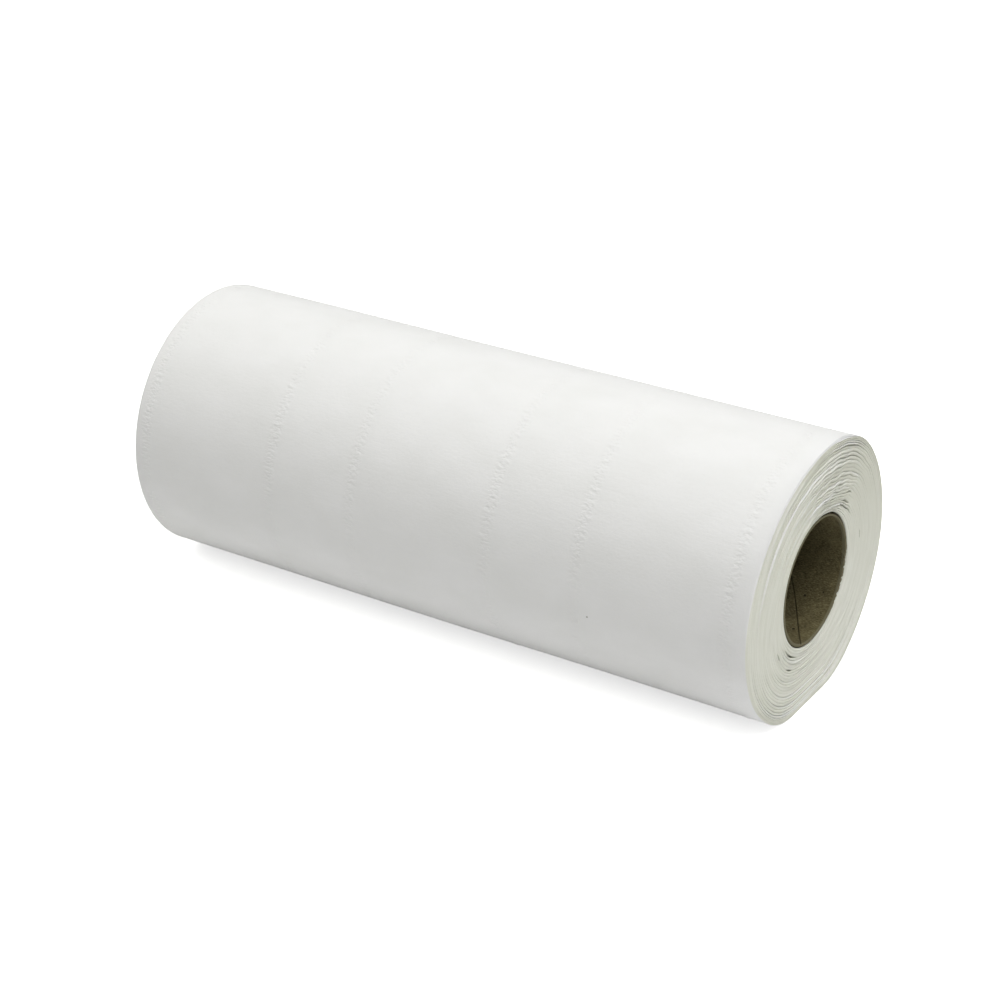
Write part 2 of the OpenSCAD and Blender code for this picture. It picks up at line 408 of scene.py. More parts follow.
def curl_share(r, angle, side):
    """0 where the flat end starts to curl, 1 where it has become the side."""
    return np.clip(1 - (roll_r - r) / curl_radius(angle, side), 0, 1)


def edge_fall(r, angle, side):
    """How far the curl has fallen back from the flat end, along a quarter circle."""
    return curl_radius(angle, side) * (1 - np.sqrt(1 - curl_share(r, angle, side) ** 2))


def cut_share(r, angle, side):
    """0 where the sheet's own surface still shows on the curl, 1 where only cut edges show."""
    rubbed = 0.5 * hill(angle, 205, 45, 4)
    return np.clip((0.42 + rubbed - curl_share(r, angle, side)) / 0.15, 0, 1)


def dish(r, angle, side):
    """How far the end stands out: more towards the rim, with a slow wave between."""
    share = wall_share(r)
    rim = 0.25
    if side > 0:
        rim = rim + 2.0 * hill(angle, 94, 48)
    wave = 0.15 * np.sin(2 * angle + 1.3 * side) * np.sin(math.pi * share)
    return (rim * share ** 1.3 + wave) * MM + back_push(angle) * (side > 0)


all_round = np.linspace(0, TURN, 360)
print("curl up to", round(curl_radius(all_round, 1).max() / MM, 1), "mm")

# %% [markdown]
# The end as a mesh
#
# Each bundle is drawn by three lines that follow the spiral: the bottom of the gap and the two
# shoulders of the turn. Joining each line to the next gives flat-topped turns with narrow gaps.
# A line joins the next turn's gap after one full circle, which is all that a spiral needs.

# %% Points and faces of one end
seg = 360
last = bundles * seg
shoulder_shares = (0.2, 0.8)
# A gap of this depth gets the full painted shade
shade_depth = 0.45 * MM


def end_points(side):
    """Points of one end, and for each the radius before it wandered, its painted shade for the gaps
    between the turns, how much of a cut edge it is and how much painted shade it gets in the gap
    between two bundles."""
    t_gap = np.arange((bundles + 1) * seg + 1) / seg
    t_top = np.arange(last + 1) / seg
    at_gap, turn_before = end_relief(t_gap, side), end_relief(t_gap - 1, side)
    turn, turn_after = end_relief(t_top, side), end_relief(t_top + 1, side)
    depth = winding(t_top + 1) - winding(t_top)
    inner_share = shoulder_shares[0] + 0.5 * np.minimum(turn["width"] / depth, 0.5)
    outer_share = shoulder_shares[1] - 0.5 * np.minimum(turn_after["width"] / depth, 0.5)
    bare_at_gap = np.maximum(at_gap["bare_in"], turn_before["bare_out"])
    # Each line: radius before it wanders, turns, height, how bare it is, and 1 in a gap
    lines = [
        (winding(t_gap), t_gap, at_gap["gap"], bare_at_gap, 1),
        (winding(t_top) + inner_share * depth, t_top, turn["inner"], turn["bare_in"], 0),
        (winding(t_top) + outer_share * depth, t_top, turn["outer"], turn["bare_out"], 0),
    ]
    points, radii, loose_shade, cut, shade = [], [], [], [], []
    for r, t, height, bare_share, in_gap in lines:
        angle = tail_angle + TURN * t
        x = side * (paper_half + dish(r, angle, side) - edge_fall(r, angle, side) + height)
        real = settle(r, angle, side, 1.0 if side > 0 else 0.0)
        points.append(np.stack([x, real * np.cos(angle), axis_z + real * np.sin(angle)], axis=1))
        radii.append(r)
        loose_shade.append(loose_turn_shade(r, angle))
        cut.append(cut_share(r, angle, side) * (1 - bare_share))
        shade.append(np.clip(-height / shade_depth, 0, 1) * in_gap * (1 - bare_share))
    return [np.concatenate(part) for part in (points, radii, loose_shade, cut, shade)]


gap_count = (bundles + 1) * seg + 1
end_count = gap_count + 2 * (last + 1)


def end_faces():
    """Faces of one end, seen from outside: the gap's inner wall, the turn, the gap's outer wall."""
    i = np.arange(last)
    gap, inner, outer = i, gap_count + i, gap_count + last + 1 + i
    strips = [
        (gap, gap + 1, inner + 1, inner),
        (inner, inner + 1, outer + 1, outer),
        (outer, outer + 1, gap + seg + 1, gap + seg),
    ]
    return np.concatenate([np.stack(strip, axis=1) for strip in strips])


print("one end:", end_count, "points,", len(end_faces()), "faces")

# %% [markdown]
# The side with its crimped bands
#
# Two thin plies are held together by narrow bands of knurling, pressed in as the strip was wound.
# On the roll they show as rings of small puckers. A bump map would vanish on the outline and in
# the exported mesh, so the puckers are real: each is a short fold, a little askew, raised or sunk
# by a fraction of a millimetre. Rows of points crowd together at the bands and spread out between.

# %% The bands and their puckers
band_shift = -1.2 * MM
band_places = [28 * MM, 63 * MM, 119 * MM]
band_centres = [band_shift + side * place for place in band_places for side in (1, -1)]
band_centres.sort(reverse=True)
band_half = 3 * MM
band_sink = 0.05 * MM
faint_share = 0.35
pucker_gap = 1.7 * MM
pucker_start = 1.5 * MM


def pucker_height(x, angle):
    """Height of the crimping at a place on the side. The far band is only faintly pressed."""
    draw = np.random.default_rng(5)
    around = np.mod(angle - tail_angle, TURN) * roll_r
    total = np.zeros(np.broadcast(x, angle).shape)
    for centre in band_centres:
        dx = x - centre
        window = np.clip(1 - (dx / band_half) ** 2, 0, 1)
        pressed = faint_share if centre == band_centres[-1] else 1.0
        count = int(TURN * roll_r / pucker_gap)
        places = (np.arange(count) + draw.uniform(-0.45, 0.45, count)) * pucker_gap + pucker_start
        heights = draw.choice([-1, 1, 1], count) * draw.uniform(0.03, 0.17, count) * MM
        slants = draw.normal(0, 0.45, count)
        shifts = draw.normal(0, 1.4, count) * MM
        lengths = draw.uniform(0.8, 1.8, count) * MM
        widths = draw.uniform(0.4, 0.6, count) * MM
        puckers = zip(places, heights, slants, shifts, lengths, widths)
        for place, height, slant, shift, length, width in puckers:
            across = around - place - slant * dx
            fold = np.exp(-(across / width) ** 2 - ((dx - shift) / length) ** 4)
            total += pressed * height * window * fold
        total -= band_sink * window
    return total


def side_wobble(x, angle):
    """Slow dents of a soft roll that was handled."""
    along_x = x / paper_half
    wobble = 0.10 * np.sin(2 * angle + 2.1 * along_x) + 0.07 * np.sin(3 * angle - 3.3 * along_x + 1)
    return wobble * MM + 0.05 * MM * np.sin(5 * angle + 6 * along_x)


def free_end_lift(angle):
    """The free end of the strip stands off a little along its last few millimetres."""
    back = np.mod(tail_angle - angle, TURN) * roll_r
    return 0.25 * MM * np.exp(-(back / (5 * MM)) ** 2)


print(len(band_centres), "bands at", [round(centre / MM, 1) for centre in band_centres], "mm")

# %% [markdown]
# The rows of the side
#
# A row of points runs once round the roll. Seven rows a millimetre apart carry each band, and one
# row between two bands is enough, since the paper is smooth there. An even grid fine enough for
# the puckers would need many times the faces. Near the floor the dents fade out, so that the flat
# spot stays flat.

# %% Rows of points along the side
side_seg = 2 * seg
row_offsets = np.array([3, 2, 1, 0, -1, -2, -3]) * MM
rows = []
for centre, next_centre in zip(band_centres, band_centres[1:] + [None]):
    rows.extend(centre + row_offsets)
    if next_centre is not None:
        rows.append((centre + next_centre) / 2)
rows = np.array(rows)
side_share = np.arange(side_seg + 1) / side_seg
spread_start = 50 * MM
floor_ease = 0.25


def crimped_share():
    """1 in the middle of a band, 0 between the bands, for each point of the side."""
    near = np.min(np.abs(rows[:, None] - np.array(band_centres)[None, :]), axis=1)
    return np.repeat(np.clip(1.5 - near / (2 * MM), 0, 1), side_seg + 1)


def side_points():
    """Points of the side, row by row from the near end, each row starting at the free end."""
    angle = tail_angle + TURN * side_share
    x, a = np.meshgrid(rows, angle, indexing="ij")
    r = np.broadcast_to(winding(bundles + side_share), x.shape)
    ease = np.clip((x - spread_start) / (paper_half - spread_start), 0, 1) ** 2
    real = settle(r, a, 0, ease)
    off_floor = np.clip((from_down(a) - flat_end) / floor_ease, 0, 1)
    lift = np.broadcast_to(free_end_lift(a) * (side_share > 0.5), x.shape)
    real = real + off_floor * (pucker_height(x, a) + side_wobble(x, a) + lift)
    return np.stack([x, real * np.cos(a), axis_z + real * np.sin(a)], axis=2).reshape(-1, 3)


print(len(rows), "rows of", side_seg, "points along the side")

# %% [markdown]
# One closed skin
#
# The two ends, the side, the wall of the hole and the thin free end of the strip are sewn into one
# closed mesh, so the paper can be printed or weighed as it is. The side has twice as many points
# round it as an end, because the puckers are finer than the turns. Where the two meet, each end
# point takes two side points, with three triangles between them.

# %% A mesh from points, and a number on each point
def mesh_object(name, points, faces):
    """A mesh from faces that are listed clockwise as seen from outside."""
    mesh = bpy.data.meshes.new(name)
    mesh.from_pydata([tuple(p) for p in points], [], [f[::-1] for f in faces])
    mesh.validate()
    mesh.polygons.foreach_set("use_smooth", [True] * len(mesh.polygons))
    mesh.update()
    piece = bpy.data.objects.new(name, mesh)
    bpy.context.scene.collection.objects.link(piece)
    return piece


def note_on_points(piece, name, values):
    """Keep one number for each point under a name, for the finish to read."""
    piece.data.attributes.new(name, "FLOAT", "POINT").data.foreach_set("value", values)


print("a mesh can now be made, and its points can carry numbers")


# %% Sew the paper together
def paper_mesh():
    """Points and faces of the whole paper, and the numbers that its points carry."""
    near, near_radii, near_loose_shade, near_cut, near_shade = end_points(1)
    far, far_radii, far_loose_shade, far_cut, far_shade = end_points(-1)
    side = side_points()
    notes = {
        "wound_radius": np.concatenate([near_radii, far_radii, np.full(len(side), roll_r)]),
        "loose_turn_shade": np.concatenate([near_loose_shade, far_loose_shade, np.zeros(len(side))]),
        "cut_share": np.concatenate([near_cut, far_cut, np.zeros(len(side))]),
        "gap_shade": np.concatenate([near_shade, far_shade, np.zeros(len(side))]),
        "crimped": np.concatenate([np.zeros(2 * end_count), crimped_share()]),
    }
    faces = [tuple(f) for f in end_faces()]
    faces += [tuple(v + end_count for v in f[::-1]) for f in end_faces()]
    base, width, row_count = 2 * end_count, side_seg + 1, len(rows)

    def at(row, i):
        return base + row * width + i

    # The side, row by row
    for row in range(row_count - 1):
        faces += [
            (at(row, i), at(row, i + 1), at(row + 1, i + 1), at(row + 1, i))
            for i in range(side_seg)
        ]
    # Where the side meets the near and the far end
    for i in range(seg):
        a, b = last + i, last + i + 1
        p, q, s = (at(0, 2 * i + k) for k in range(3))
        faces += [(a, b, q), (a, q, p), (b, s, q)]
        a, b = end_count + last + i, end_count + last + i + 1
        p, q, s = (at(row_count - 1, 2 * i + k) for k in range(3))
        faces += [(b, a, q), (q, a, p), (s, b, q)]
    # The step at the strip's free end, along the side and then on both ends
    gap_end, gap_top = last, last + seg
    inner_end, outer_end = gap_count + last, gap_count + 2 * last + 1
    inner_edge = [gap_end] + [at(row, 0) for row in range(row_count)] + [end_count + gap_end]
    outer_edge = [gap_top] + [at(row, side_seg) for row in range(row_count)] + [end_count + gap_top]
    faces += [
        (inner_edge[k], inner_edge[k + 1], outer_edge[k + 1], outer_edge[k])
        for k in range(len(inner_edge) - 1)
    ]
    cap = (gap_end, gap_top, outer_end, inner_end)
    faces += [cap, tuple(v + end_count for v in cap[::-1])]
    # The wall of the hole, from the near end straight to the far one
    hole = list(range(seg + 1)) + [gap_count + last + 1, gap_count]
    for a, b in zip(hole, hole[1:] + hole[:1]):
        faces.append((b, a, a + end_count, b + end_count))
    return np.concatenate([near, far, side]), faces, notes


paper_points, paper_faces, paper_notes = paper_mesh()
# Nothing dips under the floor
paper_points[:, 2] = np.maximum(paper_points[:, 2], 0)
paper = mesh_object("wound_paper", paper_points, paper_faces)
for name, values in paper_notes.items():
    note_on_points(paper, name, values)
print("paper: z from", round(paper_points[:, 2].min() / MM, 3), "mm")

# %% [markdown]
# Crisp gaps
#
# Smooth shading rounds every edge between two faces. That is right for the side and for the flat
# top of a turn, but a cut sheet has sharp edges. So the two walls of each gap are shaded flat, and
# the edges stay crisp without a single extra face.

# %% Flat shading in the gaps
smooth = np.ones(len(paper.data.polygons), dtype=bool)
faces_per_end = 3 * last
for start in (0, faces_per_end):
    smooth[start:start + last] = False
    smooth[start + 2 * last:start + 3 * last] = False
paper.data.polygons.foreach_set("use_smooth", smooth)
triangles = sum(len(p.vertices) - 2 for p in paper.data.polygons)
print("paper:", triangles, "triangles,", int((~smooth).sum()), "faces shaded flat")

# %% [markdown]
# The cardboard tube
#
# The tube is wound too: strips of brown board laid on the slant, edge to edge, which leaves a thin
# dark seam that runs round the bore like a screw thread. The mesh is twisted so that one of its
# lines of points follows the seam exactly, and the seam is then a true groove. The cut rims are
# rough, with a torn stretch at one side.

# %% The seam's groove and the frayed rim
seam_pitch = 78.2 * MM
seam_at_rim = math.radians(-111)
core_seg = 300
bore_round = TURN * bore_r
seam_half = 0.9 * MM
seam_offsets = np.array([-0.9, -0.35, -0.12, 0.12, 0.35, 0.9]) * MM
plain_arc = np.linspace(seam_half, bore_round - seam_half, core_seg)[1:-1]
around_seam = np.concatenate([seam_offsets[3:], plain_arc, bore_round + seam_offsets[:3]])
seam_away = np.minimum(around_seam, bore_round - around_seam)
groove_depth, groove_half = 0.6 * MM, 0.22 * MM
lip_height, lip_at, lip_half = 0.12 * MM, 0.6 * MM, 0.5 * MM
torn_centre, torn_reach = {1: -22, -1: 140}, 24


def seam_groove():
    """How deep the seam is cut, less the lip where one strip's edge stands up beside it."""
    lip = lip_height * np.exp(-((around_seam - lip_at) / lip_half) ** 2)
    return groove_depth * np.exp(-(seam_away / groove_half) ** 2) - lip


def rim_wear(angle, side):
    """How far the cut rim has frayed back, more at the torn stretch."""
    draw = np.random.default_rng(11 if side > 0 else 12)
    waves = 40
    wear = np.zeros_like(angle)
    for _ in range(waves):
        wear += np.sin(draw.integers(8, 90) * angle + draw.uniform(0, 6.3)) / waves ** 0.5
    return (0.06 + 0.4 * hill(angle, torn_centre[side], torn_reach, 4)) * MM * wear


print("the seam climbs", round(seam_pitch / MM, 1), "mm in one turn of the tube")

# %% [markdown]
# Rings from end to end
#
# The tube is a chain of rings that runs down the bore, round the far rim, back along the outside
# and round the near rim. Each ring is turned a little further than the one before, so the seam
# climbs like a screw thread. Near the mouth the rings follow the push and the swell of the paper.

# %% Rings of the tube
whole_twist = TURN * 2 * core_half / seam_pitch
mouth_length = 25 * MM


def core_ring(x, side, radius, groove_share, twist=whole_twist):
    """One ring of points. The side is 1 or -1 on a frayed rim and 0 on the plain wall."""
    angle = seam_at_rim + twist * (core_half - x) / (2 * core_half) + around_seam / bore_r
    at_mouth = np.clip((x - core_half) / mouth_length + 1, 0, 1) ** 2
    r = radius + groove_share * seam_groove() + at_mouth * mouth_swell(angle)
    worn = rim_wear(angle, side) if side else 0
    x = np.full_like(r, x) - side * np.abs(worn) + at_mouth ** 2 * back_push(angle)
    return np.stack([x, r * np.cos(angle), axis_z + r * np.sin(angle)], axis=1)


# The tube stays this far inside the paper's first turn
skin = 0.08 * MM
bore_bevel, outer_bevel = 0.15 * MM, 0.5 * MM
rim_inner = bore_r + 0.2 * MM
rim_steps = np.linspace(bore_r + 0.4 * MM, core_r - 0.6 * MM, 3)
wall_end = core_half - 0.6 * MM
wall_steps = np.linspace(-wall_end, wall_end, 90)
back_twist = whole_twist % TURN
rings = [core_ring(core_half - bore_bevel, 1, bore_r, 1)]
rings += [core_ring(x, 0, bore_r, 1) for x in wall_steps[::-1]]
rings += [core_ring(-core_half + bore_bevel, -1, bore_r, 1)]
bore_rings = len(rings)
rings += [core_ring(-core_half, -1, rim_inner, 1)]
rings += [core_ring(-core_half, -1, r, 0) for r in rim_steps]
rings += [core_ring(-core_half + outer_bevel, -1, core_r - skin, 0)]
rings += [core_ring(x, 0, core_r - skin, 0, back_twist) for x in wall_steps[::6]]
rings += [core_ring(core_half - outer_bevel, 1, core_r - skin, 0)]
rings += [core_ring(core_half, 1, r, 0) for r in rim_steps[::-1]]
rings += [core_ring(core_half, 1, rim_inner, 1)]
ring_count, ring_size = len(rings), len(around_seam)
print(ring_count, "rings of", ring_size, "points")

# %% Sew the tube together
core_faces = []
for k in range(ring_count):
    here, after = k * ring_size, (k + 1) % ring_count * ring_size
    for i in range(ring_size):
        j = (i + 1) % ring_size
        core_faces.append((here + i, after + i, after + j, here + j))
core = mesh_object("cardboard_core", np.concatenate(rings), core_faces)
seam_shade = np.zeros((ring_count, ring_size))
seam_shade[:bore_rings] = np.exp(-(seam_away / (0.3 * MM)) ** 2)
note_on_points(core, "seam_shade", seam_shade.ravel())
print("tube:", 2 * len(core.data.polygons), "triangles")

# %% [markdown]
# Nodes in short words
#
# A finish in Blender is a net of small nodes, each of which does one sum or makes one pattern.
# Written out, every node takes a line for each of its settings. A small helper that adds a node,
# fills its inputs and hands back its result makes a finish read like a few lines of arithmetic.

# %% Helpers to build node finishes
FAR_AWAY = 9.0


class Nodes:
    """A short way to add and join the nodes of a material or of the world."""

    def __init__(self, owner):
        self.owner = owner
        owner.use_nodes = True
        self.tree = owner.node_tree
        self.tree.nodes.clear()

    def add(self, kind, inputs=None, **settings):
        node = self.tree.nodes.new(kind)
        for key, value in settings.items():
            setattr(node, key, value)
        for key, value in (inputs or {}).items():
            self.feed(node.inputs[key], value)
        return node

    def feed(self, socket, value):
        if isinstance(value, bpy.types.NodeSocket):
            self.tree.links.new(value, socket)
        else:
            socket.default_value = value

    def math(self, operation, a, b=0.0):
        return self.add("ShaderNodeMath", {0: a, 1: b}, operation=operation).outputs[0]

    def times(self, a, b):
        return self.math("MULTIPLY", a, b)

    def span(self, value, low, high, out_low=0.0, out_high=1.0):
        """Stretch the range from low to high onto the range from out_low to out_high."""
        inputs = {0: value, 1: low, 2: high, 3: out_low, 4: out_high}
        return self.add("ShaderNodeMapRange", inputs).outputs[0]

    def blend(self, share, first, second):
        node = self.add("ShaderNodeMix", {0: share, 6: first, 7: second}, data_type="RGBA")
        return node.outputs[2]

    def vector(self, x=0.0, y=0.0, z=0.0):
        return self.add("ShaderNodeCombineXYZ", {0: x, 1: y, 2: z}).outputs[0]

    def noise(self, vector, scale, detail=2.0, rough=0.5):
        inputs = {"Vector": vector, "Scale": scale, "Detail": detail, "Roughness": rough}
        return self.add("ShaderNodeTexNoise", inputs).outputs["Fac"]

    def noted(self, name):
        """The number that the mesh keeps on its points under a name."""
        return self.add("ShaderNodeAttribute", attribute_name=name).outputs["Fac"]

    def roll_place(self):
        """Place, length along the roll, arc round it, radius and angle. The angle starts on top, so
        that its jump from half a turn to minus half a turn lies hidden under the roll."""
        place = self.add("ShaderNodeTexCoord").outputs["Object"]
        along_x, across, height = self.add("ShaderNodeSeparateXYZ", {0: place}).outputs
        up = self.math("SUBTRACT", height, axis_z)
        squares = self.math("ADD", self.times(across, across), self.times(up, up))
        angle = self.math("ARCTAN2", across, up)
        return place, along_x, self.times(angle, roll_r), self.math("SQRT", squares), angle

    def specks(self, place, spots, r):
        """1 on small round specks, each given as place along the roll, angle and size in mm."""
        nearest = FAR_AWAY
        for along_mm, angle_deg, size in spots:
            angle = math.radians(angle_deg)
            spot = (along_mm * MM, r * math.cos(angle), axis_z + r * math.sin(angle))
            away = self.add("ShaderNodeVectorMath", {0: place, 1: spot}, operation="DISTANCE")
            in_sizes = self.math("DIVIDE", away.outputs["Value"], size * MM)
            nearest = self.math("MINIMUM", in_sizes, nearest)
        return self.span(nearest, 1.2, 0.8)

    def matt(self, colour, height, bump_depth, rough, gloss, sheen=0.0):
        """A matt surface with a colour and a fine bump, as the whole material."""
        bump_inputs = {"Height": height, "Strength": 0.7, "Distance": bump_depth}
        bump = self.add("ShaderNodeBump", bump_inputs).outputs[0]
        shader = self.add("ShaderNodeBsdfPrincipled", {
            "Base Color": colour, "Normal": bump, "Roughness": rough,
            "Specular IOR Level": gloss, "Sheen Weight": sheen,
        })
        return self.finish(shader)

    def finish(self, shader, output="ShaderNodeOutputMaterial"):
        self.add(output, {"Surface": shader.outputs[0]})
        return self.owner


print("node helpers:", [name for name in vars(Nodes) if name[0] != "_"])

# %% [markdown]
# Paper as a material
#
# Soft crepe paper is white, quite matt, and never even: it has a fine cloth-like grain along and
# across the strip, and faint clouds where the fibres lie thicker. On the ends one looks at cut
# edges, which are a little yellower and show hair-fine lines, and shade is painted into their gaps
# and where the turns lie loosest. The mesh says at each point how much of a cut edge it is, how
# deep it lies and how much painted shade that gives, and the finish reads that. The grain is worked
# out from the place on the roll, so it stays put from every side.

# %% The paper's finish
PAPER_WHITE = (0.876, 0.876, 0.884, 1)
PAPER_CLOUD = (0.842, 0.843, 0.845, 1)
EDGE_CREAM = (0.857, 0.862, 0.79, 1)
EDGE_SHADE = (0.712, 0.717, 0.628, 1)
EDGE_GAP_SHADE = (0.40, 0.405, 0.35, 1)
SPECK_GREY = (0.25, 0.24, 0.21, 1)
# Each speck on the side: place along the roll, angle and size in mm
paper_specks = [(66.9, 189.2, 0.3), (-71.0, 40.0, 0.25)]
# How fine each pattern is, in waves for a metre
CLOUDS, GRAIN, CROSS_GRAIN, CRIMPS, HAIR, STREAKS = 60, 1500, 1300, 900, 3200, 700


def side_look(n, place, along_x, arc, radius):
    """Colour and bump of the paper's side."""
    clouds = n.noise(n.vector(n.times(along_x, 0.6), arc), CLOUDS, 4)
    colour = n.blend(n.span(clouds, 0.35, 0.7), PAPER_WHITE, PAPER_CLOUD)
    colour = n.blend(n.specks(place, paper_specks, roll_r), colour, SPECK_GREY)
    grain = n.noise(n.vector(along_x, n.times(arc, 0.35), radius), GRAIN, 3, 0.6)
    cross_grain = n.noise(n.vector(n.times(along_x, 0.3), arc, radius), CROSS_GRAIN, 2, 0.6)
    crimps = n.noise(n.vector(n.times(along_x, 0.7), arc), CRIMPS, 1)
    weave = n.math("ADD", n.times(grain, 0.6), n.times(cross_grain, 0.4))
    in_bands = n.times(n.times(crimps, n.noted("crimped")), 2.5)
    return colour, n.math("ADD", weave, in_bands)


def end_look(n, angle):
    """Colour and bump of the cut edges. Both patterns change fast from turn to turn, and slowly
    along a turn: the more, the larger the circle on which they are read."""
    wound = n.noted("wound_radius")
    round_y, round_z = n.math("COSINE", angle), n.math("SINE", angle)
    hair_circle, streak_circle = (
        n.vector(wound, n.times(round_y, size), n.times(round_z, size)) for size in (0.0008, 0.003)
    )
    hair = n.noise(hair_circle, HAIR, 2, 0.7)
    streaks = n.noise(streak_circle, STREAKS, 3, 0.6)
    colour = n.blend(n.span(streaks, 0.36, 0.75, 0, 0.75), EDGE_CREAM, EDGE_SHADE)
    # Painted shade where the turns lie loosest, towards EDGE_SHADE
    colour = n.blend(n.times(n.noted("loose_turn_shade"), 0.9), colour, EDGE_SHADE)
    # Painted shade in the gaps between bundles
    colour = n.blend(n.times(n.noted("gap_shade"), 0.55), colour, EDGE_GAP_SHADE)
    return colour, n.math("ADD", n.times(hair, 0.5), n.times(streaks, 0.5))


def paper_finish():
    n = Nodes(bpy.data.materials.new("soft_white_paper"))
    place, along_x, arc, radius, angle = n.roll_place()
    side_colour, weave = side_look(n, place, along_x, arc, radius)
    end_colour, edges = end_look(n, angle)
    on_end = n.noted("cut_share")
    colour = n.blend(on_end, side_colour, end_colour)
    height = n.add("ShaderNodeMix", {0: on_end, 2: weave, 3: edges}, data_type="FLOAT").outputs[0]
    return n.matt(colour, height, 0.2 * MM, rough=0.92, gloss=0.2, sheen=0.08)


paper.data.materials.append(paper_finish())
print("paper finish:", len(paper.data.materials[0].node_tree.nodes), "nodes")

# %% [markdown]
# Cardboard as a material
#
# Brown board is pulp with long dark and pale fibres pressed in. The rim is a fresh cut, paler and
# greyer than the skin, with painted shade at its outer edge, where the paper starts. Noise
# stretched along the winding gives the fibres, and a few specks give the dirt that recycled board
# always has.

# %% The tube's finish
BOARD_DARK = (0.070, 0.058, 0.027, 1)
BOARD_BROWN = (0.136, 0.117, 0.058, 1)
BOARD_CUT = (0.178, 0.165, 0.108, 1)
BOARD_SPECK_AND_SHADE = (0.025, 0.020, 0.010, 1)
BOARD_PALE = (0.24, 0.21, 0.12, 1)
# Each speck in the bore: place along the roll, angle and size in mm
board_specks = [
    (120.8, 321.6, 0.32), (114.9, 314.3, 0.45), (117.4, 275.5, 0.5), (103.0, 290.0, 0.3),
    (62.0, 200.0, 0.3), (14.0, 20.0, 0.3), (-40.0, 80.0, 0.35), (-90.0, 250.0, 0.3),
]
# How fine the fibres and the clouds of the board are, in waves for a metre
FIBRES, MOTTLE = 1700, 160


def board_finish():
    n = Nodes(bpy.data.materials.new("brown_core_board"))
    place, along_x, arc, radius, _ = n.roll_place()
    # The fibres lie along the strip, which runs on the slant
    across_strip = n.math("ADD", n.times(along_x, 0.87), n.times(arc, 0.22))
    fibres = n.noise(n.vector(n.times(across_strip, 0.8), arc, radius), FIBRES, 3, 0.7)
    mottle = n.noise(place, MOTTLE, 4, 0.6)
    skin = n.blend(n.span(mottle, 0.3, 0.7), BOARD_DARK, BOARD_BROWN)
    skin = n.blend(n.span(fibres, 0.48, 0.72, 0, 0.9), skin, BOARD_PALE)
    skin = n.blend(n.span(fibres, 0.46, 0.3, 0, 0.6), skin, BOARD_SPECK_AND_SHADE)
    skin = n.blend(n.times(n.noted("seam_shade"), 0.8), skin, BOARD_SPECK_AND_SHADE)
    skin = n.blend(n.specks(place, board_specks, bore_r), skin, BOARD_SPECK_AND_SHADE)
    cut = n.blend(n.span(fibres, 0.3, 0.7, 0, 0.5), BOARD_CUT, BOARD_BROWN)
    # Painted shade along the rim's outer edge, where the paper meets it, in the dark speck colour
    cut = n.blend(n.span(radius, core_r - 0.55 * MM, core_r - 0.3 * MM), cut, BOARD_SPECK_AND_SHADE)
    on_rim = n.span(n.math("ABSOLUTE", along_x), core_half - 0.6 * MM, core_half - 0.3 * MM)
    return n.matt(n.blend(on_rim, skin, cut), fibres, 0.15 * MM, rough=0.9, gloss=0.1)


core.data.materials.append(board_finish())
print("board finish:", len(core.data.materials[0].node_tree.nodes), "nodes")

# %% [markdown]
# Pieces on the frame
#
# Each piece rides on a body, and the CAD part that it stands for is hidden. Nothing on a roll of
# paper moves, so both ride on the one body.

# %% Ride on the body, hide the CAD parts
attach(paper, "root")
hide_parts("paper_roll")
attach(core, "root")
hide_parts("core")
print("pieces:", paper.name, core.name)

# %% [markdown]
# The floor
#
# White paper is photographed on a white sweep. The floor is a plain matt white with a little glow
# of its own that only the camera and mirrors see, so it comes out white where the light is full
# and keeps the roll's shadow where it isn't. It still throws lamplight up at the roll's underside.
# Beyond the floor the camera sees a pale room, which gives no light of its own.

# %% Floor and surroundings
floor_half = 1.6
floor_glow = 0.7
room_light = 0.0
scene = bpy.context.scene
corners = [(x * floor_half, y * floor_half, 0) for x, y in ((-1, -1), (1, -1), (1, 1), (-1, 1))]
floor_mesh = bpy.data.meshes.new("floor")
floor_mesh.from_pydata(corners, [], [(0, 1, 2, 3)])
floor = bpy.data.objects.new("floor", floor_mesh)
scene.collection.objects.link(floor)


def floor_finish():
    n = Nodes(bpy.data.materials.new("white_sweep"))
    seen = n.add("ShaderNodeLightPath").outputs
    mirrored = n.math("MAXIMUM", seen["Is Glossy Ray"], seen["Is Transmission Ray"])
    direct = n.math("MAXIMUM", seen["Is Camera Ray"], mirrored)
    matt = n.add("ShaderNodeBsdfDiffuse", {"Color": (0.95, 0.95, 0.95, 1)}).outputs[0]
    strength = n.times(direct, floor_glow)
    glow = n.add("ShaderNodeEmission", {"Color": (1, 1, 1, 1), "Strength": strength}).outputs[0]
    return n.finish(n.add("ShaderNodeAddShader", {0: matt, 1: glow}))


def room_finish():
    n = Nodes(bpy.data.worlds.new("white_room"))
    seen = n.add("ShaderNodeLightPath").outputs
    direct = n.math("MAXIMUM", seen["Is Camera Ray"], seen["Is Glossy Ray"])
    lit = n.add("ShaderNodeBackground", {"Color": (1, 1, 1, 1), "Strength": room_light}).outputs[0]
    pale = n.add("ShaderNodeBackground", {"Color": (0.8, 0.8, 0.8, 1), "Strength": 1.0}).outputs[0]
    chosen = n.add("ShaderNodeMixShader", {0: direct, 1: lit, 2: pale})
    return n.finish(chosen, "ShaderNodeOutputWorld")


floor_mesh.materials.append(floor_finish())
scene.world = room_finish()
print("floor", 2 * floor_half, "m wide, room light", room_light)

# %% [markdown]
# The light
#
# The top of the roll is nearly white, the front shades off smoothly, and the bore goes from brown
# to nearly black. So the main light comes from above the near end, where it also reaches a little
# way into the bore. A second one from the left fills the front, and a third one softens both; the
# two are a touch yellower. Large area lamps keep the shading soft, and none burns the white.

# %% Lamps
lamp_size = 1.1
warm = (1, 1, 0.945)


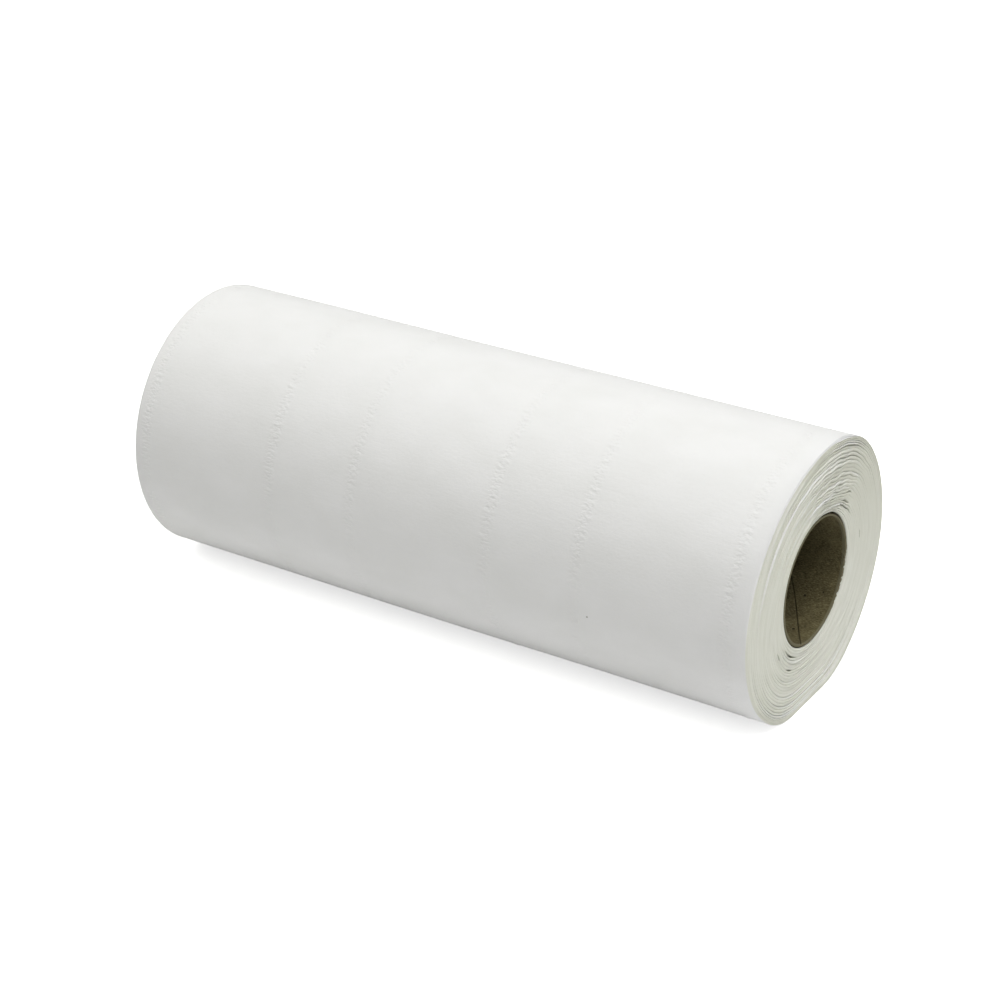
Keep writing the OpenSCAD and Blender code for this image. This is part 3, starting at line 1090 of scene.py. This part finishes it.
def soft_lamp(name, place, power, colour=(1, 1, 1)):
    """A square area lamp that looks at the middle of the roll."""
    data = bpy.data.lights.new(name, "AREA")
    data.shape = "SQUARE"
    data.size = lamp_size
    data.energy = power
    data.color = colour
    lamp = bpy.data.objects.new(name, data)
    lamp.location = place
    aim = Vector((0, 0, axis_z)) - Vector(place)
    lamp.rotation_euler = aim.to_track_quat("-Z", "Y").to_euler()
    scene.collection.objects.link(lamp)


soft_lamp("over_the_end", (0.7, 0.1, 1.45), 15.0)
soft_lamp("left", (-1.2, 0, 1.1), 11.8, warm)
soft_lamp("front", (0.5, -0.6, 1.4), 8.9, warm)
print(len(bpy.data.lights), "lamps, each", lamp_size, "m wide")

# %% [markdown]
# The camera
#
# The camera stands where the photographer stood: a long lens, looking down at the roll a little
# and along it at a third of a right angle. Its place was found by fitting the roll's outline and
# the bore to the photograph.

# %% Camera at the photograph's view
view_turn = math.radians(32.68)
view_tilt = math.radians(26.45)
view_distance = 0.8287
aim_right = 1.17 * MM
aim_up = -3.38 * MM
lens_mm, sensor_mm = 83.77, 36
backward = Vector((
    math.sin(view_turn) * math.cos(view_tilt),
    -math.cos(view_turn) * math.cos(view_tilt),
    math.sin(view_tilt),
))
right = Vector((math.cos(view_turn), math.sin(view_turn), 0))
upward = backward.cross(right)
stand = Vector((0, 0, axis_z)) + backward * view_distance + right * aim_right + upward * aim_up
camera_data = bpy.data.cameras.new("camera")
camera_data.lens = lens_mm
camera_data.sensor_width = sensor_mm
camera = bpy.data.objects.new("camera", camera_data)
camera.matrix_world = Matrix((
    (right.x, upward.x, backward.x, stand.x),
    (right.y, upward.y, backward.y, stand.y),
    (right.z, upward.z, backward.z, stand.z),
    (0, 0, 0, 1),
))
scene.collection.objects.link(camera)
scene.camera = camera
scene.view_settings.view_transform = "Standard"
print("camera at", [round(v, 3) for v in stand])

# %% [markdown]
# The dressed roll's size
#
# The packed model and the dressed roll should be the same size but for the dish, the curl and the
# puckers.
